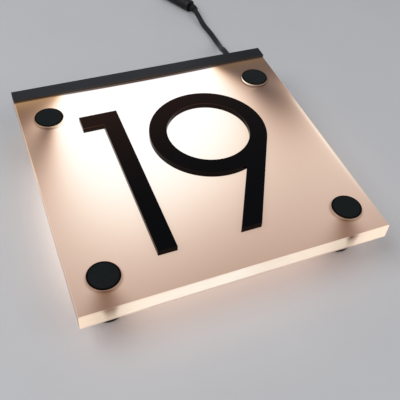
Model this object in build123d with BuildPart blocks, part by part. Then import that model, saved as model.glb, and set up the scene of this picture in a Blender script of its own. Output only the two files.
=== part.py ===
from build123d import *
import os
from math import asin, atan2, cos, hypot, pi, radians, sin, tan

# Illuminated house number sign, in millimetres.
# The sign lies on its standoffs: X runs to the sign's right, Y up the sign towards its light
# channel, and Z out of its face. The origin is the middle of the footprint, on the plane of the
# standoffs' bases.

# ---- Driving dimensions ------------------------------------------------------------------

# Panel: satin acrylic sheet, lit through its upper edge
sign_width = 200.0
sign_height = 200.0
panel_thickness = 11.8
panel_bevel = 0.5
panel_hole_diameter = 12.0

# Standoffs, washers and caps
standoff_diameter = 20.0
standoff_length = 20.0
standoff_bevel = 0.5
side_inset = 20.0
lower_inset = 21.0
upper_inset = 36.5
thread_diameter = 10.0
thread_depth = 15.0
thread_engagement = 8.0
thread_clearance = 0.05
stud_tip_bevel = 1.0
wall_screw_hole_diameter = 5.0
wall_screw_head_diameter = 8.0
rear_washer_thickness = 1.0
front_washer_diameter = 18.0
front_washer_thickness = 0.5
front_washer_clearance = 0.15
cap_diameter = 20.0
cap_thickness = 2.0
cap_bevel = 0.3

# Numerals: black acrylic sheet
digit_height = 129.5
digit_thickness = 4.0
digit_bottom = -74.6
digit_stroke = 12.4
one_width = 27.0
one_right = -33.8
nine_overshoot = 1.6
nine_diameter = 83.4
nine_centre_x = 21.5
nine_foot_x = 21.5

# Light channel: folded aluminium U over the panel's upper edge
channel_wall = 1.5
channel_depth = 11.0
channel_fold_radius = 0.6
bond_line = 0.1
bond_setback = 0.5
light_bay_depth = 4.0
end_plug_length = 3.0

# LED strip, cut from a 12 V reel with three chips and one resistor a segment
segment_length = 25.0
segment_count = 5
chips_per_segment = 3
strip_width = 8.0
tape_thickness = 0.2
board_thickness = 0.3
chip_length = 3.5
chip_width = 2.8
chip_height = 0.7
resistor_length = 3.2
resistor_width = 1.6
resistor_height = 0.6
pad_spacing = 4.0
solder_length = 2.2
solder_width = 1.8
solder_height = 1.2
solder_rounding = 0.4

# Wires, cable and grommet
wire_diameter = 1.2
wire_spacing = 1.9
wire_bend_radius = 1.0
wire_setback = 1.3
wire_slant = 4.0
wire_reach = 19.3
cable_diameter = 4.6
cable_inset = 23.7
grommet_flange_diameter = 9.0
grommet_neck_diameter = 7.0
grommet_outer_flange = 1.5
grommet_inner_flange = 1.0
grommet_rounding = 0.4

# Cable connector: in-line direct-current socket
boot_diameter = 7.0
boot_length = 8.0
boot_turn = 28.0
connector_diameter = 11.0
connector_length = 36.0
connector_rounding = 0.8
socket_depth = 12.0
contact_diameter = 6.5
contact_wall = 0.4
contact_length = 11.0
pin_diameter = 2.0
pin_length = 10.0
pin_end_bevel = 0.5

# ---- Places that follow from them --------------------------------------------------------

sign_bottom = -sign_height / 2
sign_top = sign_height / 2
web_inside = sign_top - channel_wall
panel_top = web_inside - light_bay_depth
panel_height = panel_top - sign_bottom

panel_back = standoff_length + rear_washer_thickness
panel_front = panel_back + panel_thickness
washer_front = panel_front + front_washer_thickness
stud_tip = standoff_length - thread_engagement

corner_x = sign_width / 2 - side_inset
corner_low = sign_bottom + lower_inset
corner_high = sign_top - upper_inset
corners = {
    "top_left": (-corner_x, corner_high),
    "top_right": (corner_x, corner_high),
    "bottom_left": (-corner_x, corner_low),
    "bottom_right": (corner_x, corner_low),
}

bay_back = panel_back - bond_line
bay_front = panel_front + bond_line
bay_height = bay_front - bay_back
bay_middle = (bay_back + bay_front) / 2
channel_lip = sign_top - channel_depth

cable_exit_x = sign_width / 2 - cable_inset
strip_right_end = cable_exit_x - wire_reach
strip_length = segment_length * segment_count
strip_middle = strip_right_end - strip_length / 2
board_back = web_inside - tape_thickness
board_face = board_back - board_thickness
chip_count = chips_per_segment * segment_count
chip_pitch = segment_length / chips_per_segment


def facing_down(x, y, z):
    """A plane at a point, whose normal points down the sign, away from the channel's web."""
    return Plane(origin=(x, y, z), x_dir=(1, 0, 0), z_dir=(0, -1, 0))


def save(piece, name):
    """Label a finished piece and write its STEP file."""
    piece.part.label = name
    export_step(piece.part, f"parts/{name}.step")


os.makedirs("parts", exist_ok=True)

# ---- Panel and numerals ------------------------------------------------------------------

with BuildPart() as panel:
    with BuildSketch(Plane.XY.offset(panel_back)):
        with Locations((0, sign_bottom)):
            Rectangle(sign_width, panel_height, align=(Align.CENTER, Align.MIN))
        with Locations(*corners.values()):
            Circle(panel_hole_diameter / 2, mode=Mode.SUBTRACT)
    extrude(amount=panel_thickness)
    back_face, *_, front_face = panel.faces().filter_by(Axis.Z).sort_by(Axis.Z)
    chamfer(back_face.outer_wire().edges() + front_face.outer_wire().edges(), length=panel_bevel)
save(panel, "acrylic_panel")

digit_top = digit_bottom + digit_height
one_left = one_right - one_width
stem_left = one_right - digit_stroke
flag_bottom = digit_top - digit_stroke

with BuildPart() as one:
    with BuildSketch(Plane.XY.offset(panel_front)):
        with BuildLine():
            Polyline(
                (one_right, digit_bottom),
                (one_right, digit_top),
                (one_left, digit_top),
                (one_left, flag_bottom),
                (stem_left, flag_bottom),
                (stem_left, digit_bottom),
                close=True,
            )
        make_face()
    extrude(amount=digit_thickness)
save(one, "digit_one")

# The nine is a ring with a straight leg, whose right edge leaves the ring at a tangent and
# whose foot is cut level with the foot of the one.
nine_radius = nine_diameter / 2
nine_centre_y = digit_top + nine_overshoot - nine_radius
foot_to_centre_x = nine_centre_x - nine_foot_x
foot_to_centre_y = nine_centre_y - digit_bottom
foot_distance = hypot(foot_to_centre_x, foot_to_centre_y)
leg_lean = asin(nine_radius / foot_distance) + atan2(foot_to_centre_x, foot_to_centre_y)
tangent_length = (foot_distance**2 - nine_radius**2) ** 0.5
tangent_x = nine_foot_x + tangent_length * sin(leg_lean)
tangent_y = digit_bottom + tangent_length * cos(leg_lean)

with BuildPart() as nine:
    with BuildSketch(Plane.XY.offset(panel_front)):
        with Locations((nine_centre_x, nine_centre_y)):
            Circle(nine_radius)
        with BuildLine():
            Polyline(
                (nine_foot_x, digit_bottom),
                (tangent_x, tangent_y),
                (tangent_x - digit_stroke * cos(leg_lean), tangent_y + digit_stroke * sin(leg_lean)),
                (nine_foot_x - digit_stroke / cos(leg_lean), digit_bottom),
                close=True,
            )
        make_face()
        with Locations((nine_centre_x, nine_centre_y)):
            Circle(nine_radius - digit_stroke, mode=Mode.SUBTRACT)
    extrude(amount=digit_thickness)
save(nine, "digit_nine")

# ---- Standoffs, washers and caps, one set at each corner ---------------------------------

stud_radius = thread_diameter / 2 - thread_clearance

for corner, (x, y) in corners.items():
    # The barrel stands on the wall: a wall screw goes through its base from inside the bore.
    with BuildPart() as standoff:
        with BuildSketch(Plane(origin=(x, y, 0))):
            Circle(standoff_diameter / 2)
        extrude(amount=standoff_length)
        chamfer(standoff.edges().filter_by(GeomType.CIRCLE), length=standoff_bevel)
        with Locations((x, y, standoff_length)):
            Hole(thread_diameter / 2, depth=thread_depth)
        with Locations((x, y, standoff_length - thread_depth)):
            CounterSinkHole(wall_screw_hole_diameter / 2, wall_screw_head_diameter / 2)
    save(standoff, f"standoff_{corner}")

    with BuildPart() as rear_washer:
        with BuildSketch(Plane(origin=(x, y, standoff_length))):
            Circle(standoff_diameter / 2)
            Circle(panel_hole_diameter / 2, mode=Mode.SUBTRACT)
        extrude(amount=rear_washer_thickness)
    save(rear_washer, f"rear_washer_{corner}")

    with BuildPart() as front_washer:
        with BuildSketch(Plane(origin=(x, y, panel_front))):
            Circle(front_washer_diameter / 2)
            Circle(stud_radius + front_washer_clearance, mode=Mode.SUBTRACT)
        extrude(amount=front_washer_thickness)
    save(front_washer, f"front_washer_{corner}")

    # The cap and its stud are turned from one bar. The stud's plain cylinder stands for the thread.
    with BuildPart() as cap:
        with BuildSketch(Plane(origin=(x, y, washer_front))):
            Circle(cap_diameter / 2)
        extrude(amount=cap_thickness)
        chamfer(cap.edges().filter_by(GeomType.CIRCLE), length=cap_bevel)
        with BuildSketch(Plane(origin=(x, y, stud_tip))):
            Circle(stud_radius)
        extrude(amount=washer_front - stud_tip)
        tip_edge = cap.edges().filter_by(GeomType.CIRCLE).sort_by(Axis.Z)[0]
        chamfer(tip_edge, length=stud_tip_bevel)
    save(cap, f"cap_{corner}")

# ---- Light channel -----------------------------------------------------------------------

with BuildPart() as channel:
    with BuildSketch(Plane.YZ.offset(-sign_width / 2)):
        with BuildLine():
            Polyline(
                (channel_lip, bay_back - channel_wall),
                (sign_top, bay_back - channel_wall),
                (sign_top, bay_front + channel_wall),
                (channel_lip, bay_front + channel_wall),
                (channel_lip, bay_front),
                (web_inside, bay_front),
                (web_inside, bay_back),
                (channel_lip, bay_back),
                close=True,
            )
        make_face()
    extrude(amount=sign_width)
    fold_edges = channel.edges().filter_by(Axis.X).group_by(Axis.Y)[-1]
    fillet(fold_edges, radius=channel_fold_radius)
    with BuildSketch(facing_down(cable_exit_x, sign_top, bay_middle)):
        Circle(grommet_neck_diameter / 2)
    extrude(amount=channel_wall, mode=Mode.SUBTRACT)
save(channel, "top_channel")

with BuildPart() as bond:
    bond_length = sign_width - 2 * bond_setback
    bond_reach = panel_top - panel_bevel - channel_lip - bond_setback
    with BuildSketch(Plane.XY.offset(panel_front)):
        with Locations((0, channel_lip + bond_setback)):
            Rectangle(bond_length, bond_reach, align=(Align.CENTER, Align.MIN))
    extrude(amount=bond_line)
    with BuildSketch(Plane.XY.offset(bay_back)):
        with Locations((0, channel_lip + bond_setback)):
            Rectangle(bond_length, bond_reach, align=(Align.CENTER, Align.MIN))
    extrude(amount=bond_line)
save(bond, "channel_adhesive")

for side, plug_start in (("left", -sign_width / 2), ("right", sign_width / 2 - end_plug_length)):
    with BuildPart() as plug:
        with BuildSketch(Plane.XY.offset(bay_back)):
            with Locations((plug_start, panel_top)):
                Rectangle(end_plug_length, light_bay_depth, align=(Align.MIN, Align.MIN))
        extrude(amount=bay_height)
    save(plug, f"end_plug_{side}")

# ---- LED strip ---------------------------------------------------------------------------

with BuildPart() as tape:
    with BuildSketch(facing_down(strip_middle, web_inside, bay_middle)):
        Rectangle(strip_length, strip_width)
    extrude(amount=tape_thickness)
save(tape, "led_strip_tape")

with BuildPart() as board:
    with BuildSketch(facing_down(strip_middle, board_back, bay_middle)):
        Rectangle(strip_length, strip_width)
    extrude(amount=board_thickness)
save(board, "led_strip_board")

with BuildPart() as chips:
    with BuildSketch(facing_down(strip_middle, board_face, bay_middle)):
        with GridLocations(chip_pitch, 0, chip_count, 1):
            Rectangle(chip_length, chip_width)
    extrude(amount=chip_height)
save(chips, "led_chips")

with BuildPart() as resistors:
    with BuildSketch(facing_down(strip_middle - chip_pitch / 2, board_face, bay_middle)):
        with GridLocations(segment_length, 0, segment_count, 1):
            Rectangle(resistor_width, resistor_length)
    extrude(amount=resistor_height)
save(resistors, "led_resistors")

with BuildPart() as solder:
    with BuildSketch(facing_down(strip_right_end - solder_length / 2, board_face, bay_middle)):
        with GridLocations(0, pad_spacing, 1, 2):
            Rectangle(solder_length, solder_width)
    extrude(amount=solder_height)
    fillet(solder.faces().sort_by(Axis.Y)[:2].edges(), radius=solder_rounding)
save(solder, "solder_joints")

# ---- Wires from the strip to the cable ---------------------------------------------------

cable_inner_end = web_inside - grommet_inner_flange
wire_lane = cable_inner_end - wire_setback
pad_lane = board_face - solder_height / 2

for polarity, side in (("positive", 1), ("negative", -1)):
    core_z = bay_middle + side * wire_spacing / 2
    pad_z = bay_middle + side * pad_spacing / 2
    wire_points = [
        (cable_exit_x, cable_inner_end, core_z),
        (cable_exit_x, wire_lane, core_z),
        (strip_right_end + 2 * wire_slant, wire_lane, pad_z),
        (strip_right_end + wire_slant, pad_lane, pad_z),
        (strip_right_end, pad_lane, pad_z),
    ]
    with BuildPart() as wire:
        with BuildLine() as wire_path:
            FilletPolyline(*wire_points, radius=wire_bend_radius)
        with BuildSketch(Plane(origin=wire_path.line @ 0, z_dir=wire_path.line % 0)):
            Circle(wire_diameter / 2)
        sweep()
    save(wire, f"wire_{polarity}")

# ---- Grommet and cable -------------------------------------------------------------------

with BuildPart() as grommet:
    with BuildSketch(facing_down(cable_exit_x, sign_top + grommet_outer_flange, bay_middle)):
        Circle(grommet_flange_diameter / 2)
    extrude(amount=grommet_outer_flange)
    with BuildSketch(facing_down(cable_exit_x, sign_top, bay_middle)):
        Circle(grommet_neck_diameter / 2)
    extrude(amount=channel_wall)
    with BuildSketch(facing_down(cable_exit_x, web_inside, bay_middle)):
        Circle(grommet_flange_diameter / 2)
    extrude(amount=grommet_inner_flange)
    outer_rim = grommet.edges().filter_by(GeomType.CIRCLE).sort_by(Axis.Y)[-1]
    fillet(outer_rim, radius=grommet_rounding)
    with BuildSketch(facing_down(cable_exit_x, sign_top + grommet_outer_flange, bay_middle)):
        Circle(cable_diameter / 2)
    extrude(until=Until.LAST, mode=Mode.SUBTRACT)
save(grommet, "cable_grommet")

# The cable leaves the channel straight, comes down to the surface that the sign lies on, runs
# along it, and rises a little into its connector. Each point of its lay is a distance right of
# its exit, a distance beyond the channel's back, and a height above that surface.
cable_rest = cable_diameter / 2
connector_rest = connector_diameter / 2
cable_lay = [
    (0.0, 9.0, bay_middle),
    (2.3, 21.5, 22.6),
    (6.3, 32.5, 14.8),
    (10.9, 44.5, 8.0),
    (14.3, 58.5, 2.5),
    (14.3, 76.0, cable_rest),
    (12.7, 91.0, cable_rest),
    (12.1, 102.0, connector_rest),
    (12.4, 112.5, connector_rest),
]
route_points = [Vector(cable_exit_x, cable_inner_end, bay_middle)]
for right, beyond, height in cable_lay:
    route_points.append(Vector(cable_exit_x + right, sign_top + beyond, height))

bend_share = 0.45
route_radii = []
for before, corner_point, after in zip(route_points, route_points[1:], route_points[2:]):
    run_in = corner_point - before
    run_out = after - corner_point
    half_turn = radians(run_in.get_angle(run_out)) / 2
    route_radii.append(bend_share * min(run_in.length, run_out.length) / tan(half_turn))

with BuildPart() as cable:
    with BuildLine() as cable_path:
        cable_line = FilletPolyline(*route_points, radius=route_radii)
    with BuildSketch(Plane(origin=cable_path.line @ 0, z_dir=cable_path.line % 0)):
        Circle(cable_diameter / 2)
    sweep()
save(cable, "power_cable")

cable_section = pi * cable_diameter**2 / 4
print("cable bend radii:", [round(radius, 1) for radius in route_radii])
print(f"cable length {cable_line.length:.1f}, volume {cable.part.volume:.1f}")
print(f"section times length {cable_section * cable_line.length:.1f}")

# ---- Connector ---------------------------------------------------------------------------

boot_radius_of_turn = boot_length / radians(boot_turn)
with BuildPart() as boot:
    with BuildLine() as boot_path:
        JernArc(cable_path.line @ 1, cable_path.line % 1, boot_radius_of_turn, boot_turn)
    with BuildSketch(Plane(origin=boot_path.line @ 0, z_dir=boot_path.line % 0)):
        Circle(boot_diameter / 2)
    sweep()
save(boot, "connector_boot")

connector_axis = Axis(boot_path.line @ 1, boot_path.line % 1)
connector_start = Plane(origin=boot_path.line @ 1, z_dir=boot_path.line % 1)
socket_floor = connector_start.offset(connector_length - socket_depth)

with BuildPart() as connector:
    with BuildSketch(connector_start):
        Circle(connector_diameter / 2)
    extrude(amount=connector_length)
    fillet(connector.edges().filter_by(GeomType.CIRCLE), radius=connector_rounding)
    with BuildSketch(socket_floor):
        Circle(contact_diameter / 2)
    extrude(amount=socket_depth, mode=Mode.SUBTRACT)
save(connector, "connector_body")

with BuildPart() as contact:
    with BuildSketch(socket_floor):
        Circle(contact_diameter / 2)
        Circle(contact_diameter / 2 - contact_wall, mode=Mode.SUBTRACT)
    extrude(amount=contact_length)
save(contact, "connector_contact")

with BuildPart() as pin:
    with BuildSketch(socket_floor):
        Circle(pin_diameter / 2)
    extrude(amount=pin_length)
    pin_end = pin.edges().filter_by(GeomType.CIRCLE).sort_by(connector_axis)[-1]
    chamfer(pin_end, length=pin_end_bevel)
save(pin, "connector_pin")
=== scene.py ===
import math

import bmesh
import bpy
from mathutils import Matrix, Quaternion, Vector


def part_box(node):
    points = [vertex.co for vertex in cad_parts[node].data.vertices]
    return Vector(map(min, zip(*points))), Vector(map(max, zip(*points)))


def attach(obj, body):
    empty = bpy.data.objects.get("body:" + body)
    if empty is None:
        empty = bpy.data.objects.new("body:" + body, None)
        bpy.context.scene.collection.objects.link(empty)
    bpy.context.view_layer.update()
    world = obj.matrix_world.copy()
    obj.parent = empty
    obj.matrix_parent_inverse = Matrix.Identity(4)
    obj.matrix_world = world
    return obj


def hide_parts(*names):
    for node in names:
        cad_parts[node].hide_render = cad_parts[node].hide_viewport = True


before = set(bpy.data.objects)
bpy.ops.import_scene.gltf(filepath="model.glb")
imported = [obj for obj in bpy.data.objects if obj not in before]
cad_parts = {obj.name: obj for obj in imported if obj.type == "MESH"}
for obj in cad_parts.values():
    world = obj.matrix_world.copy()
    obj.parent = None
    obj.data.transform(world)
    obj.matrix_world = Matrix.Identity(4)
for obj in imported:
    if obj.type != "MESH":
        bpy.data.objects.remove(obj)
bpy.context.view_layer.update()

# ---- Camera --------------------------------------------------------------------------------
# The photograph's view: from above the sign's lower left corner, looking down at about 48
# degrees, with the picture turned a little clockwise.

camera_place = Vector((-0.11596, -0.27851, 0.32410))
camera_target = Vector((0.01584, -0.01812, 0.0))
camera_roll = math.radians(6.13)

lens = bpy.data.cameras.new("camera")
lens.sensor_width = 36.0
lens.lens = 54.96
lens.shift_x = -0.0375
lens.clip_start = 0.02
camera = bpy.data.objects.new("camera", lens)
bpy.context.scene.collection.objects.link(camera)
camera.location = camera_place
camera.rotation_mode = "QUATERNION"
facing = (camera_target - camera_place).to_track_quat("-Z", "Y")
camera.rotation_quaternion = facing @ Quaternion((0, 0, 1), camera_roll)
bpy.context.scene.camera = camera
bpy.context.scene.view_settings.view_transform = "Standard"

# ---- Power cable and its connector ---------------------------------------------------------
# A round two-core lead in a black PVC jacket. It leaves the channel's back through a rubber
# grommet, comes down to the surface that the sign lies on, and ends in a moulded in-line
# socket with a flexing strain relief behind it.


class Signal:
    """A socket of a material. Arithmetic on it adds Math nodes, and node() adds any other."""

    def __init__(self, tree, socket=None):
        self.tree = tree
        self.socket = socket

    def connect(self, made, values):
        for socket, value in values.items():
            if isinstance(value, Signal):
                self.tree.links.new(value.socket, made.inputs[socket])
            else:
                made.inputs[socket].default_value = value

    def node(self, kind, settings=None, values=None, output=0):
        made = self.tree.nodes.new(kind)
        for setting, value in (settings or {}).items():
            setattr(made, setting, value)
        self.connect(made, values or {})
        return Signal(self.tree, made.outputs[output])

    def math(self, operation, *values):
        return self.node("ShaderNodeMath", {"operation": operation}, dict(enumerate(values)))

    def __add__(self, other):
        return self.math("ADD", self, other)

    def __sub__(self, other):
        return self.math("SUBTRACT", self, other)

    def __rsub__(self, other):
        return self.math("SUBTRACT", other, self)

    def __mul__(self, other):
        return self.math("MULTIPLY", self, other)

    def __truediv__(self, other):
        return self.math("DIVIDE", self, other)

    def __pow__(self, other):
        return self.math("POWER", self, other)

    def __neg__(self):
        return self.math("MULTIPLY", self, -1)

    def __abs__(self):
        return self.math("ABSOLUTE", self)

    __radd__ = __add__
    __rmul__ = __mul__


def start_finish(name):
    """A new material, and the signal of a point's place on the object, in metres."""
    material = bpy.data.materials.new(name)
    material.use_nodes = True
    place = Signal(material.node_tree).node("ShaderNodeTexCoord", output="Object")
    return material, place


def give_shader(place, values):
    """Sets sockets of a material's shader, each to a plain value or to a signal."""
    place.connect(place.tree.nodes["Principled BSDF"], values)


def grain(place, scale, detail=2.0):
    """Soft random variation from 0 to 1, with scale features to the metre."""
    return place.node("ShaderNodeTexNoise", {}, {"Vector": place, "Scale": scale, "Detail": detail})


def stretched(place, scale):
    """The place with each axis scaled, so that a grain runs along the axis with the least scale."""
    return place.node("ShaderNodeMapping", {}, {"Vector": place, "Scale": scale})


def mixed(amount, low, high):
    """The colour low where amount is 0, and high where it is 1."""
    return amount.node("ShaderNodeMix", {"data_type": "RGBA"}, {0: amount, 6: low, 7: high}, 2)


def raised(height, distance):
    """A normal for a surface that stands up by distance, in metres, where height is 1."""
    return height.node("ShaderNodeBump", {}, {"Distance": distance, "Height": height}, "Normal")


def add_piece(name, data, finishes, body, nodes):
    """Puts a finished mesh or curve in the scene, in place of the CAD nodes it stands for."""
    piece = bpy.data.objects.new(name, data)
    bpy.context.scene.collection.objects.link(piece)
    for finish in finishes:
        data.materials.append(finish)
    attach(piece, body)
    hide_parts(*nodes)
    return piece


def add_shape(name, shape, finishes, body, nodes):
    """Closes a bmesh and adds it as a piece that shades smoothly between its edges."""
    data = bpy.data.meshes.new(name)
    shape.to_mesh(data)
    shape.free()
    data.shade_smooth()
    data.set_sharp_from_angle(angle=math.radians(40))
    piece = add_piece(name, data, finishes, body, nodes)
    shading = piece.modifiers.new("even shading", "WEIGHTED_NORMAL")
    shading.keep_sharp = True
    return piece


def turned(section, steps=96, ring=False):
    """A shape turned round Z, from its section's corners as (radius, height)."""
    shape = bmesh.new()
    corners = [shape.verts.new((radius, 0, height)) for radius, height in section]
    ends = corners[1:] + corners[:1] if ring else corners[1:]
    edges = [shape.edges.new(pair) for pair in zip(corners, ends)]
    bmesh.ops.spin(
        shape, geom=corners + edges, axis=(0, 0, 1), cent=(0, 0, 0), dvec=(0, 0, 0),
        angle=math.tau, steps=steps, use_merge=True,
    )
    bmesh.ops.remove_doubles(shape, verts=shape.verts, dist=1e-7)
    bmesh.ops.recalc_face_normals(shape, faces=shape.faces)
    return shape


def eased(shape, width, segments=2, sharper_than=30):
    """Rounds every edge that turns by more than an angle in degrees."""
    sharp = [
        edge for edge in shape.edges
        if len(edge.link_faces) == 2 and edge.calc_face_angle() > math.radians(sharper_than)
    ]
    bmesh.ops.bevel(
        shape, geom=sharp, offset=width, affect="EDGES", segments=segments, profile=0.5,
        material=-1,
    )
    return shape


cable_diameter = 0.0046
cable_radius = cable_diameter / 2
cable_exit = (0.0763, 0.0975, 0.0269)
cable_route = [
    cable_exit,
    (0.0763, 0.1090, 0.0269),
    (0.0786, 0.1215, 0.0226),
    (0.0826, 0.1325, 0.0148),
    (0.0872, 0.1445, 0.0080),
    (0.0906, 0.1585, 0.0025),
    (0.0906, 0.1760, 0.0023),
    (0.0890, 0.1910, 0.0023),
    (0.0884, 0.2020, 0.0055),
    (0.0887, 0.2125, 0.0055),
]
cable_line = bpy.data.curves.new("cable_lead", "CURVE")
cable_line.dimensions = "3D"
cable_line.bevel_depth = cable_radius
cable_line.bevel_resolution = 8
cable_line.resolution_u = 16
cable_line.use_fill_caps = True
run = cable_line.splines.new("NURBS")
run.points.add(len(cable_route) - 1)
for point, stop in zip(run.points, cable_route):
    point.co = (*stop, 1.0)
run.order_u = 3
run.use_endpoint_u = True

jacket_pvc, place = start_finish("jacket_pvc")
ripple = grain(place, 420.0)
fine = grain(place, 5200.0)
give_shader(place, {
    "Base Color": mixed(ripple, (0.004, 0.004, 0.005, 1), (0.009, 0.009, 0.010, 1)),
    "Roughness": 0.40 + 0.18 * ripple,
    "Specular IOR Level": 0.25,
    "Normal": raised(0.7 * ripple + 0.3 * fine, 0.00006),
})
cable_lead = add_piece(
    "cable_lead", cable_line, [jacket_pvc], "root", ["power_cable"],
)

# The moulded rubber is matt, with a fine spark-eroded grain from its tool and a little dust.
moulded_rubber, place = start_finish("moulded_rubber")
pores = grain(place, 3800.0, 4.0)
dust = grain(place, 160.0, 4.0)
give_shader(place, {
    "Base Color": mixed(dust, (0.006, 0.006, 0.007, 1), (0.016, 0.016, 0.015, 1)),
    "Roughness": 0.62 + 0.22 * pores,
    "Normal": raised(pores, 0.00005),
    "Specular IOR Level": 0.25,
})

# The grommet grips the edge of the channel's hole in a groove between its two flanges.
grommet_inside, channel_inside, channel_outside, grommet_outside = 0.0975, 0.0985, 0.1000, 0.1015
flange_radius = 0.0045
groove_radius = 0.0035
lip_round = 0.00025
grommet_section = [
    (cable_radius, grommet_inside), (flange_radius, grommet_inside),
    (flange_radius, channel_inside), (groove_radius, channel_inside),
    (groove_radius, channel_outside), (flange_radius, channel_outside),
    (flange_radius, grommet_outside), (cable_radius, grommet_outside),
]
grommet = eased(turned(grommet_section, ring=True), lip_round)
upright = Matrix.Rotation(math.radians(-90), 4, "X")
bmesh.ops.transform(grommet, matrix=upright, verts=grommet.verts)
bmesh.ops.translate(grommet, vec=(cable_exit[0], 0, cable_exit[2]), verts=grommet.verts)
cable_bush = add_shape(
    "cable_bush", grommet, [moulded_rubber], "root", ["cable_grommet"],
)


def along(axis, start):
    """Carries a shape that was turned round Z to a start point, with Z along an axis."""
    return Matrix.Translation(start) @ axis.to_track_quat("Z", "Y").to_matrix().to_4x4()


# The strain relief is a ribbed sleeve of the same rubber, and the lead turns to the left in it.
# A known fault: this piece bends downwards instead, so its far end isn't square to the socket.
boot_start = Vector(cable_route[-1])
boot_axis = (boot_start - Vector(cable_route[-2])).normalized()
boot_length = 0.0080
boot_turn = math.radians(28)
boot_radius = 0.0035
first_rib_radius = 0.0031
rib_growth = boot_radius - first_rib_radius
rib_count = 5
rib_edge = 0.0001
rib_pitch = (boot_length - 2 * rib_edge) / rib_count
rib_width = 0.0009
rib_slope = 0.0002
valley_radius = 0.0027
boot_section = [(cable_radius, 0.0)]
for rib in range(rib_count):
    foot = rib * rib_pitch
    crest = first_rib_radius + rib_growth * rib / (rib_count - 1)
    boot_section += [
        (crest - rib_edge, foot), (crest, foot + rib_slope), (crest, foot + rib_width),
        (valley_radius, foot + rib_width + rib_slope),
        (valley_radius, foot + rib_pitch - rib_edge),
    ]
boot_section += [
    (boot_radius, boot_length - rib_edge), (boot_radius, boot_length),
    (cable_radius, boot_length),
]
boot = turned(boot_section, steps=64, ring=True)
bmesh.ops.transform(boot, matrix=Matrix.Rotation(math.radians(-90), 4, "Z"), verts=boot.verts)
bend_radius = boot_length / boot_turn
for corner in boot.verts:
    turn = corner.co.z / bend_radius
    reach = bend_radius + corner.co.y
    corner.co.y = reach * math.cos(turn) - bend_radius
    corner.co.z = reach * math.sin(turn)
bmesh.ops.transform(boot, matrix=along(boot_axis, boot_start), verts=boot.verts)
strain_relief = add_shape(
    "strain_relief", boot, [moulded_rubber], "root", ["connector_boot"],
)

# The socket's body is glass-filled nylon with moulded finger grips behind a plain sleeve.
satin_moulding, place = start_finish("satin_moulding")
sparks = grain(place, 6500.0, 3.0)
patches = grain(place, 240.0)
give_shader(place, {
    "Base Color": mixed(patches, (0.005, 0.005, 0.006, 1), (0.011, 0.011, 0.012, 1)),
    "Roughness": 0.38 + 0.20 * sparks,
    "Specular IOR Level": 0.25,
    "Normal": raised(sparks, 0.00003),
})
to_left = Matrix.Rotation(math.radians(90), 3, "Z") @ boot_axis
body_axis = Matrix.Rotation(boot_turn, 3, "Z") @ boot_axis
body_start = boot_start + bend_radius * math.sin(boot_turn) * boot_axis
body_start += bend_radius * (1 - math.cos(boot_turn)) * to_left
body_radius = 0.0055
body_length = 0.0360
body_round = 0.0008
body_sides = 48
grips_start = 0.0030
grips_end = 0.0150
seam_start = 0.0152
seam_end = 0.0164
seam_depth = 0.0003
mouth_radius = 0.00325
mouth_floor = 0.0240
body_section = [
    (0.0, 0.0), (body_radius - body_round, 0.0), (body_radius - 0.0002, 0.0002),
    (body_radius, body_round),
    (body_radius, grips_start), (body_radius, grips_end), (body_radius, seam_start),
    (body_radius - seam_depth, seam_start + seam_depth),
    (body_radius - seam_depth, seam_end - seam_depth), (body_radius, seam_end),
    (body_radius, body_length - body_round), (body_radius - 0.00023, body_length - 0.00023),
    (body_radius - body_round, body_length), (mouth_radius, body_length),
    (mouth_radius, mouth_floor), (0.0, mouth_floor),
]
body = turned(body_section, steps=body_sides)
flutes = []
for face in body.faces:
    middle = face.calc_center_median()
    number = round(math.atan2(middle.y, middle.x) / math.tau * body_sides - 0.5)
    if grips_start < middle.z < grips_end and number % 2 == 0:
        flutes.append(face)
flute_margin = 0.00012
flute_depth = 0.00025
bmesh.ops.inset_individual(body, faces=flutes, thickness=flute_margin, depth=-flute_depth)
bmesh.ops.transform(body, matrix=along(body_axis, body_start), verts=body.verts)
socket_body = add_shape(
    "socket_body", body, [satin_moulding], "root", ["connector_body"],
)

# Its spring contact and centre pin are nickel-plated brass, turned and drawn.


def dress(nodes, finish):
    """Gives CAD nodes their finish."""
    for name in nodes:
        for place_for_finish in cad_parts[name].material_slots:
            place_for_finish.material = finish


nickel, place = start_finish("nickel_plate")
drawn = grain(stretched(place, (2500, 400, 4000)), 1.0, 4.0)
give_shader(place, {
    "Base Color": mixed(drawn, (0.66, 0.63, 0.58, 1), (0.80, 0.78, 0.74, 1)),
    "Metallic": 1.0,
    "Roughness": 0.16 + 0.16 * drawn,
    "Normal": raised(drawn, 0.000004),
})
dress(["connector_contact", "connector_pin"], nickel)

# ---- Floor and studio light ----------------------------------------------------------------
# A plain pale sheet under the sign, a pale room all round, and two large soft lamps that stand
# clear of what the glossy numerals reflect towards the camera.

floor_reach = 3.0
gap_under_feet = 0.00004
sheet = bmesh.new()
bmesh.ops.create_grid(sheet, x_segments=1, y_segments=1, size=floor_reach)
bmesh.ops.translate(sheet, vec=(0, 0, -gap_under_feet), verts=sheet.verts)
floor_mesh = bpy.data.meshes.new("floor")
sheet.to_mesh(floor_mesh)
sheet.free()
floor = bpy.data.objects.new("floor", floor_mesh)
bpy.context.scene.collection.objects.link(floor)
floor_paint, place = start_finish("floor_paint")
tone = grain(place, 14.0, 5.0)
give_shader(place, {
    "Base Color": mixed(tone, (0.43, 0.43, 0.44, 1), (0.47, 0.47, 0.48, 1)),
    "Roughness": 0.55,
})
floor_mesh.materials.append(floor_paint)

room = bpy.data.worlds.new("room")
room.use_nodes = True
room.node_tree.nodes["Background"].inputs["Color"].default_value = (0.92, 0.95, 1.0, 1)
room.node_tree.nodes["Background"].inputs["Strength"].default_value = 0.50
bpy.context.scene.world = room

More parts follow.
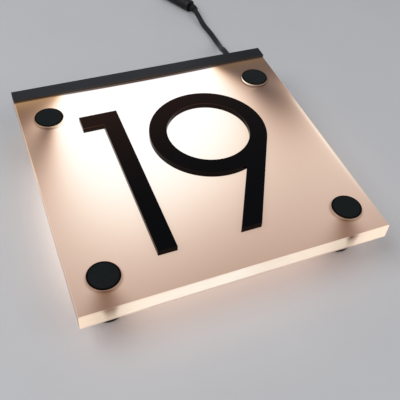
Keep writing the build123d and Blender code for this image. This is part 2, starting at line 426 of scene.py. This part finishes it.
for name, lamp_place, watts, width in (
    ("key", (-0.85, 0.15, 1.25), 12.0, 1.1),
    ("fill", (0.80, -0.95, 1.10), 7.5, 1.3),
):
    lamp = bpy.data.lights.new(name, "AREA")
    lamp.shape = "DISK"
    lamp.size = width
    lamp.energy = watts
    stand = bpy.data.objects.new(name, lamp)
    bpy.context.scene.collection.objects.link(stand)
    stand.location = lamp_place
    stand.rotation_mode = "QUATERNION"
    stand.rotation_quaternion = (-Vector(lamp_place)).to_track_quat("-Z", "Y")

# ---- Panel ---------------------------------------------------------------------------------
# One sheet of 12 mm satin acrylic with sawn and polished edges. It is a light guide: the strip
# on its top edge shines down inside it, its satin faces let that light out, and its edges and
# bevels let out most. The four screws through it throw soft shadows away from the strip.


def limited(value, low=0.0, high=1.0):
    """The value, held between two limits."""
    return value.node("ShaderNodeClamp", {}, {0: value, 1: low, 2: high})


def rising(value, start, reach):
    """0 up to a start, and 1 from a reach beyond it. A negative reach runs the other way."""
    return limited((value - start) / reach)


def falling(distance, reach):
    """Light or shade that dies away evenly over a reach."""
    return distance.math("EXPONENT", distance * (-1 / reach))


def hump(distance, width):
    """1 at no distance, and next to nothing at two widths on either side."""
    share = distance / width
    return falling(share * share, 1.0)


def axes_of(vector):
    """A vector's three parts."""
    first = vector.node("ShaderNodeSeparateXYZ", {}, {0: vector})
    return [Signal(vector.tree, part) for part in first.socket.node.outputs]


def facing_of(place):
    """The three parts of the direction that the surface faces."""
    return axes_of(place.node("ShaderNodeTexCoord", output="Normal"))


def lit(colour, amount):
    """A colour made brighter or darker by an amount."""
    return amount.node("ShaderNodeVectorMath", {"operation": "SCALE"}, {0: colour, "Scale": amount})


def together(first, second):
    """Two lights added."""
    return first.node("ShaderNodeVectorMath", {"operation": "ADD"}, {0: first, 1: second})


def eased_off(light):
    """The light with each of its colours levelling off at 1, so that the brightest part is white."""
    held = [part / (1 + part * part * part) ** (1 / 3) for part in axes_of(light)]
    return light.node("ShaderNodeCombineXYZ", {}, dict(enumerate(held)))


panel_low, panel_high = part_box("acrylic_panel")
panel_back = panel_low.z
panel_front = panel_high.z
screws = {}
for corner in ("top_left", "top_right", "bottom_left", "bottom_right"):
    low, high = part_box(f"standoff_{corner}")
    screws[corner] = (low + high) / 2
screw_column = screws["top_right"].x
middle_of_rows = (screws["top_right"].y + screws["bottom_right"].y) / 2
row_offset = (screws["top_right"].y - screws["bottom_right"].y) / 2
cap_low, cap_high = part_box("cap_top_left")
cap_radius = (cap_high.x - cap_low.x) / 2

satin_acrylic, place = start_finish("satin_acrylic")
across, up, level = axes_of(place)
to_side, to_top, to_viewer = facing_of(place)
on_face = limited(2 * to_viewer)
to_front = limited(-to_top)
side = abs(to_side)
flat = abs(to_viewer)
below_face = panel_front - level

# The lit stretch lies just above the sheet's top edge. Its light spreads in a cone, leans a
# little, is thrown back by both side edges, and dies away with its depth in the sheet.
glow_left = -0.0567
glow_right = 0.0507
glow_top = 0.1007
light_cone = 0.651
cone_hardness = 3.87
lean_of_light = 1.488
mirror_strength = 1.543
haze_per_metre = 15.84
brightness = 9.01
brightest = 8.0
least_depth = 0.0005
full_depth = 0.190
depth = glow_top - up
depth = depth.math("MAXIMUM", depth, least_depth)
depth_share = limited(depth / full_depth)


def lit_angle(end):
    """The angle from straight up the sheet to one end of a lit stretch, held to the chips' cone."""
    angle = depth.math("ARCTANGENT", (end - across) / depth)
    past_cone = (angle * angle / light_cone**2) ** cone_hardness
    held = angle / (1 + past_cone) ** (0.5 / cone_hardness)
    return held + lean_of_light / 2 * held * held


direct = lit_angle(glow_right) - lit_angle(glow_left)
for mirror in (panel_low.x, panel_high.x):
    mirrored = lit_angle(2 * mirror - glow_left) - lit_angle(2 * mirror - glow_right)
    direct = direct + mirror_strength * mirrored

shadow_onset = 0.0030
shadow_reach = 0.170


def past_screw(corner, lean, strength, starts, width, widening, shift):
    """The light left by a screw's shadow, which leans from straight down and widens on its way."""
    right = across - screws[corner].x
    ahead = up - screws[corner].y
    away = right * math.sin(lean) - ahead * math.cos(lean)
    aside = right * math.cos(lean) + ahead * math.sin(lean)
    behind = away.math("MAXIMUM", away, 0.0)
    start = rising(away, starts, shadow_onset)
    start = start * start * (3 - 2 * start)
    shape = hump(aside - shift, width + widening * behind)
    return 1 - strength * start * shape * falling(behind, shadow_reach)


unshaded = past_screw(
    "top_left", lean=-0.435, strength=0.985, starts=0.0045, width=0.0038, widening=0.42,
    shift=0.0009,
)
unshaded = unshaded * past_screw(
    "top_right", lean=0.318, strength=0.83, starts=0.0079, width=0.0024, widening=0.53,
    shift=-0.0024,
)
unshaded = unshaded * past_screw(
    "bottom_left", lean=-0.155, strength=0.98, starts=0.0064, width=0.0027, widening=0.38,
    shift=-0.0002,
)
unshaded = unshaded * past_screw(
    "bottom_right", lean=-0.426, strength=0.92, starts=0.0068, width=0.0026, widening=0.35,
    shift=-0.0010,
)

# Painted shade also darkens the sheet in the gap under each cap's rim.
rim_shade_width = 0.0010
cap_across = abs(across) - screw_column
cap_up = abs(up - middle_of_rows) - row_offset
from_cap = (cap_across * cap_across + cap_up * cap_up) ** 0.5 - cap_radius
unshaded = unshaded * (1 - 0.50 * hump(from_cap, rim_shade_width) * on_face)

glow = brightness * direct * falling(depth, 1 / haze_per_metre) * unshaded
glow = limited(glow, 0.0, brightest)
glow_tint = mixed(depth_share ** 0.373, (1.742, 1.0, 0.591, 1), (1.281, 1.0, 0.846, 1))

# Amber light leaks sideways past the strip's ends, and a faint pink haze fills the lower half.
leak_reach = 0.00976
pink_haze = (0.089, 0.022, 0.0)
rightward = rising(across, -0.0695, 0.139)
amber = mixed(rightward, (1.152, 0.700, 0.322, 1), (0.380, 0.223, 0.044, 1))
leak = falling(depth, leak_reach) * unshaded

# The sawn edge nearest the viewer is the brightest, with the saw's strokes along it, warm at its
# ends and cooler between them. Two of the screws show in it as dark gaps that fade downwards,
# and its lower line is dimmer.
saw = grain(stretched(place, (110, 60, 900)), 1.0, 3.0)
middle_tint = mixed(limited(0.2 + 60 * across), (0.46, 0.52, 0.48, 1), (0.41, 0.42, 0.37, 1))
front_tint = mixed(limited(120 * across * across), middle_tint, (0.50, 0.44, 0.34, 1))
left_gap = -0.0821
right_gap = 0.0730
gap_depth = 0.25 + 0.73 * rising(below_face, 0.0090, -0.0085)
gap_width = 0.0033 + 0.0012 * rising(below_face, 0.0058, -0.0050)
past_gaps = 1
for gap_middle in (left_gap, right_gap):
    offset = (across - gap_middle) / gap_width
    past_gaps = past_gaps * (1 - gap_depth * hump(offset * offset, 1.0))
inwards = rising(abs(across), 0.086, -0.030)
lower_shade = (0.22 + 0.50 * inwards) * rising(below_face + 0.0006 * inwards, 0.0100, 0.0009)
front_light = to_front * (0.80 + 0.40 * saw) * past_gaps * (1 - lower_shade)

# Painted shade: the right-hand screw's shadow, a warm dark spot at the top of that edge.
spot_middle = 0.0721
spot_depth = 0.0006
spot_radius = 0.0018
spot_light = (0.075, 0.016, 0.0)
screw_shade_spot = hump(across - spot_middle, spot_radius) * hump(below_face - spot_depth, spot_radius)
screw_shade_spot = screw_shade_spot * limited(2 * to_front)

# The side edges are dim, with one bright stretch, and a pale line runs along their bevels.
side_tint = (1.0, 0.84, 0.66)
bevel = limited(4.8 * flat * (1 - flat))
side_light = 0.02 + 0.09 * rising(up, -0.010, 0.040) + 0.06 * rising(up, 0.055, 0.010)
side_light = (side_light + 0.20 * hump(up - 0.018, 0.014)) * side
side_light = side_light + 0.20 * bevel * (1 - to_front)
side_shade = 0.16 + 0.26 * rising(up, 0.010, -0.060) + 0.30 * rising(up, 0.055, 0.030)
back_light = (1 + 2.0 * limited(-to_viewer)) * (1 - side_shade * side)

# Light that reaches the right edge is thrown back and shows as a brighter rim beside it.
rim_light = (0.20, 0.21, 0.18)
from_right = panel_high.x - across
rim_height = rising(up, 0.042, -0.016) * rising(up, -0.085, 0.070)
rim = 0.70 * falling(from_right - 0.0010, 0.0024) + 0.60 * hump(from_right - 0.0016, 0.0010)
rim = limited(rim) * rim_height * on_face

# Painted shade darkens the sheet just below the channel's lip, in a band that is widest at the
# middle.
lip_band_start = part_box("top_channel")[0].y - 0.0017
from_centre = across / 0.075
bow = limited(1 - from_centre * from_centre)
lip_shade = (0.85 + 0.13 * bow) * rising(up + 0.0014 * bow, lip_band_start, 0.0009) * on_face

emission = together(lit(glow_tint, glow), lit(amber, leak))
emission = eased_off(together(emission, lit(pink_haze, depth_share)))
emission = together(emission, lit(rim_light, rim))
emission = together(lit(emission, back_light), lit(front_tint, front_light))
emission = lit(together(emission, lit(side_tint, side_light)), 1 - 0.92 * screw_shade_spot)
emission = together(emission, lit(spot_light, screw_shade_spot))
emission = lit(emission, 1 - lip_shade)

edge_mask = limited(3 * (1 - flat))
satin = grain(place, 2600.0, 3.0)
cloud = grain(place, 60.0, 4.0)
# Painted shade: the sheet's colour is kept a dark warm grey, and near the strip it is darker and
# redder still.
warm_grey = mixed(cloud, (0.112, 0.074, 0.052, 1), (0.126, 0.084, 0.060, 1))
near_strip = mixed(rightward, (0.078, 0.022, 0.004, 1), (0.072, 0.036, 0.034, 1))
sheet_tone = mixed(falling(depth, 0.065), warm_grey, near_strip)
give_shader(place, {
    "Base Color": mixed(screw_shade_spot, sheet_tone, (0.02, 0.004, 0.002, 1)),
    "Roughness": 0.52 - 0.34 * edge_mask * (1 - 0.8 * side),
    "Normal": raised(satin * (1 - edge_mask) + 0.5 * saw * edge_mask, 0.00002),
    "IOR": 1.49,
    "Emission Color": emission,
    "Emission Strength": 1.0,
})
dress(["acrylic_panel"], satin_acrylic)

# ---- Numerals ------------------------------------------------------------------------------
# A one and a nine, laser-cut from 4 mm gloss black acrylic and bonded to the panel's face. Their
# cut walls are flame-polished with softened corners, and the black is deep red in truth: near
# the strip a trace of its light comes through, most of all at the corners.


def copied(node):
    """A CAD node's shape, with its triangles joined up into whole faces."""
    shape = bmesh.new()
    shape.from_mesh(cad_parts[node].data)
    bmesh.ops.remove_doubles(shape, verts=shape.verts, dist=1e-6)
    bmesh.ops.dissolve_limit(
        shape, angle_limit=math.radians(1), verts=shape.verts, edges=shape.edges,
    )
    return shape


def black_acrylic(name, specular, walls):
    """Gloss black acrylic for the face, or for the cut walls with their softened corners."""
    material, place = start_finish(name)
    right, ahead, height = axes_of(place)
    # Painted light: near the strip the face turns redder and glows faintly, and the walls glow more.
    nearness = rising(ahead - 0.3 * right, -0.045, 0.12)
    nearness = nearness * nearness
    smear = grain(place, 90.0, 5.0)
    # Painted light: the walls also glow a little everywhere, more at their corners and at their
    # foot.
    corner = limited(2.5 * facing_of(place)[2]) * walls
    foot = falling(height - panel_front, 0.0005) * walls
    through = mixed(corner, (0.013, 0.005, 0.003, 1), (0.110, 0.042, 0.024, 1))
    through = mixed(foot, through, (0.090, 0.048, 0.034, 1))
    give_shader(place, {
        "Base Color": mixed(nearness, (0.0016, 0.0016, 0.0020, 1), (0.006, 0.003, 0.0025, 1)),
        "Roughness": 0.10 + 0.10 * smear,
        "Specular IOR Level": specular,
        "Emission Color": lit(through, 0.12 * walls + (1 - 0.12 * walls) * nearness),
        "Emission Strength": 1.0,
        "Normal": raised(smear, 0.00006),
    })
    return material


face_acrylic = black_acrylic("face_acrylic", specular=0.05, walls=0)
wall_acrylic = black_acrylic("wall_acrylic", specular=0.03, walls=1)
softened = 0.00022
for name in ("digit_one", "digit_nine"):
    numeral = eased(copied(name), softened)
    for face in numeral.faces:
        face.material_index = int(abs(face.normal.z) < 0.99)
    add_shape(
        name.replace("digit", "numeral"), numeral, [face_acrylic, wall_acrylic], "root",
        [name],
    )

# ---- Light channel -------------------------------------------------------------------------
# A length of 1.5 mm aluminium folded into a U and anodised dark grey. It slips over the
# panel's top edge, carries the strip inside, and was brushed along its length first.

grey_anodising, place = start_finish("grey_anodising")
brushed = grain(stretched(place, (18, 2400, 2400)), 1.0, 5.0)
blotch = grain(place, 35.0, 3.0)
along_channel = axes_of(place)[0]
to_end, to_top, _ = facing_of(place)
sawn_end = limited(2 * abs(to_end) - 1)
glow_lit_lip = limited(-2 * to_top - 1)
streaks = 0.6 * brushed + 0.4 * blotch
dark_grey = mixed(streaks, (0.030, 0.030, 0.034, 1), (0.058, 0.058, 0.064, 1))

# Painted shade: the channel is darker towards its two ends, past the lit stretch.
right_shade = 0.50 * rising(along_channel, 0.030, 0.050)
left_shade = 0.20 * rising(along_channel, -0.050, -0.050)
dark_grey = lit(dark_grey, 1 - right_shade - left_shade)
dark_grey = mixed(sawn_end, dark_grey, (0.20, 0.21, 0.22, 1))
# Painted light: the lip's edge that faces the glowing sheet is a warm brown, and also less metallic
# and rougher.
give_shader(place, {
    "Base Color": mixed(glow_lit_lip, dark_grey, (0.050, 0.036, 0.025, 1)),
    "Metallic": 0.85 * (1 - glow_lit_lip),
    "Roughness": 0.40 + 0.16 * brushed + 0.20 * glow_lit_lip,
    "Normal": raised(brushed, 0.000012),
})
dress(["top_channel"], grey_anodising)

# ---- Bond and end plugs --------------------------------------------------------------------
# Clear silicone holds the channel's two walls to the panel. A block of black rubber pressed
# into each end of the channel keeps rain off the strip.

clear_silicone, place = start_finish("clear_silicone")
streak = grain(stretched(place, (60, 900, 900)), 1.0, 3.0)
give_shader(place, {
    "Base Color": mixed(streak, (0.66, 0.66, 0.62, 1), (0.80, 0.80, 0.77, 1)),
    "Roughness": 0.18 + 0.14 * streak,
    "Transmission Weight": 0.4,
    "IOR": 1.41,
    "Normal": raised(streak, 0.00002),
})
dress(["channel_adhesive"], clear_silicone)
dress(["end_plug_left", "end_plug_right"], moulded_rubber)

# ---- LED strip -----------------------------------------------------------------------------
# A 12 V strip cut from a reel: foam tape, a white-masked flexible board, fifteen warm white
# chips in moulded frames, a resistor to every three, and two soldered joints at its end.

foam_tape, place = start_finish("foam_tape")
cells = grain(place, 3000.0, 3.0)
give_shader(place, {
    "Base Color": mixed(cells, (0.66, 0.66, 0.63, 1), (0.80, 0.80, 0.77, 1)),
    "Roughness": 0.75 + 0.15 * cells,
    "Normal": raised(cells, 0.00005),
})
dress(["led_strip_tape"], foam_tape)

board_low, board_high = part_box("led_strip_board")
strip_start = board_low.x
board_face = board_low.y
bay_middle = (board_low.z + board_high.z) / 2
segment_count = 5
chips_a_segment = 3
segment_length = (board_high.x - board_low.x) / segment_count
chip_pitch = segment_length / chips_a_segment

# The board's copper shows as two pads at each cut, and as a track near each of its long sides.
crisp = 0.00005
pad_offset = 0.0020
pad_length = 0.0020
pad_half_width = 0.0009
track_offset = 0.0034
track_half_width = 0.00035
cut_half_width = 0.00008
white_board, place = start_finish("white_board")
along_strip, _, across_strip = axes_of(place)
in_segment = along_strip.math("PINGPONG", along_strip - strip_start, segment_length / 2)
from_middle = abs(across_strip - bay_middle)
pad = rising(in_segment, pad_length, -crisp)
pad = pad * rising(abs(from_middle - pad_offset), pad_half_width, -crisp)
cut_line = rising(in_segment, cut_half_width, -0.00002)
track = rising(abs(from_middle - track_offset), track_half_width, -crisp)
print_tone = grain(place, 700.0)
mask_white = mixed(print_tone, (0.80, 0.80, 0.77, 1), (0.90, 0.90, 0.87, 1))
with_tracks = mixed(0.12 * track, mask_white, (0.55, 0.50, 0.38, 1))
with_pads = mixed(pad, with_tracks, (0.80, 0.52, 0.30, 1))
give_shader(place, {
    "Base Color": mixed(0.9 * cut_line * (1 - pad), with_pads, (0.02, 0.02, 0.02, 1)),
    "Metallic": pad,
    "Roughness": 0.38 - 0.12 * pad,
    "Normal": raised(track, 0.00003),
})
dress(["led_strip_board"], white_board)

chip_frame, place = start_finish("chip_frame")
speck = grain(place, 5000.0)
give_shader(place, {
    "Base Color": mixed(speck, (0.84, 0.83, 0.79, 1), (0.92, 0.91, 0.88, 1)),
    "Roughness": 0.30 + 0.12 * speck,
})
phosphor, place = start_finish("phosphor")
cast = grain(place, 2600.0, 3.0)
give_shader(place, {
    "Base Color": mixed(cast, (0.86, 0.62, 0.16, 1), (0.95, 0.78, 0.34, 1)),
    "Roughness": 0.22 + 0.10 * cast,
    "Emission Color": mixed(cast, (1.0, 0.78, 0.52, 1), (1.0, 0.84, 0.62, 1)),
    "Emission Strength": 3.0,
})
chip_length, chip_height, chip_width = 0.0035, 0.0007, 0.0028
frame_wall = 0.0003
frame_slope = 0.00008
window_depth = 0.00015
chips = bmesh.new()
for number in range(segment_count * chips_a_segment):
    middle = strip_start + (number + 0.5) * chip_pitch
    seat = Matrix.Translation((middle, board_face - chip_height / 2, bay_middle))
    size = Matrix.Diagonal((chip_length, chip_height, chip_width, 1))
    bmesh.ops.create_cube(chips, size=1.0, matrix=seat @ size)
windows = [face for face in chips.faces if face.normal.y < -0.9]
bmesh.ops.inset_individual(chips, faces=windows, thickness=frame_wall, depth=0.0)
bmesh.ops.inset_individual(chips, faces=windows, thickness=frame_slope, depth=-window_depth)
for face in windows:
    face.material_index = 1
add_shape("chips", chips, [chip_frame, phosphor], "root", ["led_chips"])

black_glaze, place = start_finish("black_glaze")
pit = grain(place, 4200.0)
give_shader(place, {
    "Base Color": mixed(pit, (0.020, 0.020, 0.021, 1), (0.040, 0.040, 0.042, 1)),
    "Roughness": 0.25 + 0.15 * pit,
})
solder_tin, place = start_finish("solder_tin")
flow = grain(place, 1800.0, 3.0)
give_shader(place, {
    "Base Color": mixed(flow, (0.58, 0.58, 0.57, 1), (0.76, 0.76, 0.75, 1)),
    "Metallic": 1.0,
    "Roughness": 0.20 + 0.22 * flow,
    "Normal": raised(flow, 0.00004),
})
dress(["solder_joints"], solder_tin)
resistor_length, resistor_height, resistor_width = 0.0032, 0.0006, 0.0016
half_glaze = 0.0011
resistor_round = 0.00006
resistors = bmesh.new()
for number in range(segment_count):
    middle = strip_start + (number + 0.5) * segment_length - chip_pitch / 2
    seat = Matrix.Translation((middle, board_face - resistor_height / 2, bay_middle))
    size = Matrix.Diagonal((resistor_width, resistor_height, resistor_length, 1))
    bmesh.ops.create_cube(resistors, size=1.0, matrix=seat @ size)
for tinned_from in (-half_glaze, half_glaze):
    bmesh.ops.bisect_plane(
        resistors, geom=resistors.verts[:] + resistors.edges[:] + resistors.faces[:],
        plane_co=(0, 0, bay_middle + tinned_from), plane_no=(0, 0, 1), dist=1e-7,
    )
for face in resistors.faces:
    if abs(face.calc_center_median().z - bay_middle) > half_glaze:
        face.material_index = 1
eased(resistors, resistor_round)
add_shape(
    "resistors", resistors, [black_glaze, solder_tin], "root",
    ["led_resistors"],
)

# ---- Wires ---------------------------------------------------------------------------------
# The cable's two cores, in red and black PVC, from the strip's joints to the grommet.

for node, name, dark, bright in (
    ("wire_positive", "red_pvc", (0.30, 0.008, 0.006, 1), (0.52, 0.018, 0.012, 1)),
    ("wire_negative", "black_pvc", (0.010, 0.010, 0.011, 1), (0.024, 0.024, 0.026, 1)),
):
    insulation, place = start_finish(name)
    wave = grain(place, 700.0)
    give_shader(place, {
        "Base Color": mixed(wave, dark, bright),
        "Roughness": 0.26 + 0.14 * wave,
        "Normal": raised(wave, 0.00003),
    })
    dress([node], insulation)

# ---- Standoffs and washers -----------------------------------------------------------------
# Four barrels turned from bar and anodised almost black, each screwed to the wall through its
# base and bored for the cap's stud. A black nylon washer on each face keeps metal off the acrylic.

dark_rim_start = 0.0084
dark_rim_reach = 0.00071


def turned_metal(name, face_tone, mirrored_wall_tone, wall_starts_below, shine):
    """Dark anodising over tool marks that ring every corner's own axis; painted shade and
    reflection.
    """
    material, place = start_finish(name)
    right, ahead, height = axes_of(place)
    from_column = abs(right) - screw_column
    from_row = abs(ahead - middle_of_rows) - row_offset
    radius = (from_column * from_column + from_row * from_row) ** 0.5
    rings = place.node(
        "ShaderNodeTexNoise", {"noise_dimensions": "1D"},
        {"W": radius + height, "Scale": 7000.0, "Detail": 3.0},
    )
    wear = grain(place, 500.0, 4.0)
    wall = rising(radius, cap_radius - 0.0002, crisp) * rising(height, wall_starts_below, -crisp)

    # Painted shade: the cap's face is darker and redder towards its rim, above the panel only.
    rim = rising(radius, dark_rim_start, dark_rim_reach)
    rim = rim * rising(height, panel_front + 0.0002, crisp)
    dark_tone = [0.75 * part for part in face_tone]
    rim_tone = [share * part for share, part in zip((0.40, 0.22, 0.16), face_tone)]
    dull = mixed(0.5 * rings + 0.5 * wear, (*dark_tone, 1), (*face_tone, 1))
    dull = mixed(rim, dull, (*rim_tone, 1))

    # Painted reflection of the lit sheet in the wall's pale tone and glow, most towards the strip's
    # middle.
    towards_middle = limited(-facing_of(place)[0] * right.math("SIGN", right))
    near_strip = rising(ahead, 0.020, 0.030)
    mirrored = wall * shine * (0.10 + 2.2 * near_strip * towards_middle ** 3)
    give_shader(place, {
        "Base Color": mixed(wall, dull, (*mirrored_wall_tone, 1)),
        "Metallic": 1.0,
        "Roughness": 0.30 + 0.14 * wear + 0.10 * wall,
        "Emission Color": lit((1.0, 0.86, 0.70), mirrored),
        "Emission Strength": 1.0,
        "Normal": raised(rings, 0.000006),
    })
    return material


# The barrels have one tone all over, so no part of them lies below the start of a wall.
barrel_tone = (0.028, 0.027, 0.026)
barrel_metal = turned_metal(
    "barrel_metal", face_tone=barrel_tone, mirrored_wall_tone=barrel_tone, wall_starts_below=0.0, shine=0,
)
black_nylon, place = start_finish("black_nylon")
mottle = grain(place, 900.0, 3.0)
give_shader(place, {
    "Base Color": mixed(mottle, (0.012, 0.012, 0.012, 1), (0.026, 0.026, 0.025, 1)),
    "Roughness": 0.42 + 0.16 * mottle,
    "Specular IOR Level": 0.3,
    "Normal": raised(mottle, 0.00002),
})

barrel_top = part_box("standoff_top_left")[1].z
cap_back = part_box("front_washer_top_left")[1].z
chamfer = 0.0005
bore = 0.0050
bore_floor = 0.0050
screw_hole = 0.0025
screw_sink = 0.0040
barrel_round = 0.00015
washer_round = 0.0001
barrel_section = [
    (screw_hole, 0.0), (cap_radius - chamfer, 0.0), (cap_radius, chamfer),
    (cap_radius, barrel_top - chamfer), (cap_radius - chamfer, barrel_top),
    (bore, barrel_top), (bore, bore_floor), (screw_sink, bore_floor),
    (screw_hole, bore_floor - 0.0015),
]
for corner, screw in screws.items():
    barrel = eased(turned(barrel_section, ring=True), barrel_round)
    bmesh.ops.translate(barrel, vec=(screw.x, screw.y, 0), verts=barrel.verts)
    add_shape(
        f"barrel_{corner}", barrel, [barrel_metal], "root", [f"standoff_{corner}"],
    )
    for panel_side, body_name, outer, inner, low, high in (
        ("rear", "root", cap_radius, 0.0060, barrel_top, panel_back),
        ("front", f"washer_{corner}", 0.0090, 0.0051, panel_front, cap_back),
    ):
        washer = turned([(inner, low), (outer, low), (outer, high), (inner, high)], ring=True)
        eased(washer, washer_round)
        bmesh.ops.translate(washer, vec=(screw.x, screw.y, 0), verts=washer.verts)
        add_shape(
            f"nylon_{panel_side}_{corner}", washer, [black_nylon], body_name,
            [f"{panel_side}_washer_{corner}"],
        )

# ---- Caps ----------------------------------------------------------------------------------
# Each cap is turned from the same bar in one piece with its M10 stud, faced in fine rings and
# bevelled. The stud passes through the panel and screws into the barrel's bore.

stud_end = cap_low.z
cap_top = cap_high.z
stud_core = 0.00405
face_bevel = 0.0003
cap_round = 0.00008
cap_metal = turned_metal(
    "cap_metal", face_tone=(0.022, 0.026, 0.026), mirrored_wall_tone=(0.66, 0.56, 0.46),
    wall_starts_below=cap_top - face_bevel, shine=0.5,
)
cap_section = [
    (0.0, stud_end), (0.0031, stud_end), (stud_core, stud_end + 0.0010), (stud_core, cap_back),
    (cap_radius - chamfer, cap_back), (cap_radius, cap_back + chamfer),
    (cap_radius, cap_top - face_bevel), (cap_radius - face_bevel, cap_top), (0.0, cap_top),
]
thread_start = stud_end + 0.0005
thread_pitch = 0.0015
thread_turns = 13
steps_a_turn = 32
thread_root = 0.0040
thread_crest = 0.00495
tooth = [
    (thread_root, 0.0), (thread_crest, 0.00055), (thread_crest, 0.00075), (thread_root, 0.0013),
]
for corner, screw in screws.items():
    cap = eased(turned(cap_section, steps=128), cap_round, sharper_than=40)
    thread = bmesh.new()
    points = [thread.verts.new((radius, 0, thread_start + height)) for radius, height in tooth]
    thread.faces.new(points)
    bmesh.ops.spin(
        thread, geom=thread.verts[:] + thread.edges[:] + thread.faces[:], axis=(0, 0, 1),
        cent=(0, 0, 0), dvec=(0, 0, thread_pitch / steps_a_turn),
        angle=math.tau * thread_turns, steps=steps_a_turn * thread_turns,
    )
    bmesh.ops.recalc_face_normals(thread, faces=thread.faces)
    ridge = bpy.data.meshes.new("ridge")
    thread.to_mesh(ridge)
    thread.free()
    cap.from_mesh(ridge)
    bpy.data.meshes.remove(ridge)
    bmesh.ops.translate(cap, vec=(screw.x, screw.y, 0), verts=cap.verts)
    add_shape(
        f"screw_cap_{corner}", cap, [cap_metal], f"cap_{corner}", [f"cap_{corner}"],
    )
